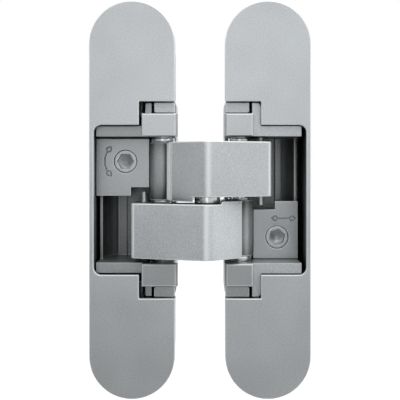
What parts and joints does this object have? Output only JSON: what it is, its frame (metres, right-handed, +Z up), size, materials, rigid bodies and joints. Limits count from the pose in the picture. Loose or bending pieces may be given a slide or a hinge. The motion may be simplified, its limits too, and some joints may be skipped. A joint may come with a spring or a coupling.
{
  "type": "concealed invisible door hinge",
  "caption": "Concealed door hinge with round-ended face plates, stepped cast housings, crossing link arms and socket screws for its depth and side settings.",
  "frame": {"origin": "centre of the frame-side screw holes, on the back seat of the left flange", "axes": "+Z up along the leaves, +X from the frame leaf to the door leaf, +Y from the faces into frame and door"},
  "size_m": [0.0724, 0.0374, 0.13],
  "materials": {
    "face_paint": "satin silver paint",
    "housing_paint": "satin silver paint",
    "carriage_paint": "satin silver paint",
    "plate_paint": "satin silver paint",
    "block_paint": "satin silver paint",
    "jaw_paint": "satin silver paint",
    "arm_paint": "satin silver paint",
    "screw_steel": "plated steel",
    "pin_steel": "ground steel",
    "bush_steel": "polished steel",
    "frame_steel": "zinc plated steel sheet"
  },
  "bodies": {
    "frame_leaf": {"housing_left": "housing_paint", "cover_left": "face_paint"},
    "height_slide": {"slide_frame_left": "frame_steel", "clamp_jaw_left_upper": "jaw_paint", "clamp_jaw_left_lower": "jaw_paint"},
    "left_carriage": {"carriage_left": "carriage_paint", "bearing_block_left_upper": "block_paint", "bearing_block_left_lower": "block_paint", "flange_bush_left_upper": "bush_steel", "flange_bush_left_lower": "bush_steel", "spacer_bush_left": "bush_steel", "pivot_pin_left": "pin_steel", "adjuster_plate_left": "plate_paint"},
    "left_screw": {"hex_screw_left": "screw_steel"},
    "upper_arm": {"upper_arm": "arm_paint", "centre_pin": "pin_steel", "centre_washer": "bush_steel", "guide_pin_upper": "pin_steel"},
    "lower_arm": {"lower_arm": "arm_paint", "guide_pin_lower": "pin_steel"},
    "right_carriage": {"carriage_right": "carriage_paint", "bearing_block_right_upper": "block_paint", "bearing_block_right_lower": "block_paint", "clamp_jaw_right_upper": "jaw_paint", "clamp_jaw_right_lower": "jaw_paint", "flange_bush_right_upper": "bush_steel", "flange_bush_right_lower": "bush_steel", "spacer_bush_right": "bush_steel", "pivot_pin_right": "pin_steel", "adjuster_plate_right": "plate_paint"},
    "right_screw": {"hex_screw_right": "screw_steel"},
    "door_leaf": {"housing_right": "housing_paint", "cover_right": "face_paint"}
  },
  "joints": [
    {"name": "height_adjust", "type": "slide", "parent": "frame_leaf", "child": "height_slide", "axis": [0, 0, 1], "range_m": [-0.003, 0.003]},
    {"name": "depth_adjust", "type": "slide", "parent": "height_slide", "child": "left_carriage", "axis": [0, 1, 0], "range_m": [-0.001, 0.001]},
    {"name": "depth_screw_turn", "type": "hinge", "parent": "left_carriage", "child": "left_screw", "pos_m": [-0.0031, 0.0042, 0.0126], "axis": [0, 1, 0], "range_deg": [-360.5, 360.5]},
    {"name": "fold", "type": "hinge", "parent": "left_carriage", "child": "upper_arm", "pos_m": [0.0096, 0.0044, 0], "axis": [0, 0, -1], "range_deg": [0, 103.19]},
    {"name": "centre_turn", "type": "hinge", "parent": "upper_arm", "child": "lower_arm", "pos_m": [0.0246, -0.0026, 0], "axis": [0, 0, -1], "range_deg": [-27.11, 0]},
    {"name": "door_turn", "type": "hinge", "parent": "lower_arm", "child": "right_carriage", "pos_m": [0.0356, 0.0044, 0], "axis": [0, 0, -1], "range_deg": [0, 103.92]},
    {"name": "side_adjust", "type": "slide", "parent": "right_carriage", "child": "door_leaf", "axis": [1, 0, 0], "range_m": [-0.0018, 0.0002]},
    {"name": "side_screw_turn", "type": "hinge", "parent": "right_carriage", "child": "right_screw", "pos_m": [0.0485, 0.0069, -0.0133], "axis": [0, 1, 0], "range_deg": [-108.5, 12.5]}
  ],
  "couplings": [
    {"joint": "centre_turn", "follows": "fold", "ratio": -0.2627},
    {"joint": "door_turn", "follows": "fold", "ratio": 1.0069},
    {"joint": "depth_screw_turn", "follows": "depth_adjust", "rad_per_m": 6283.2},
    {"joint": "side_screw_turn", "follows": "side_adjust", "rad_per_m": 1047.2}
  ]
}
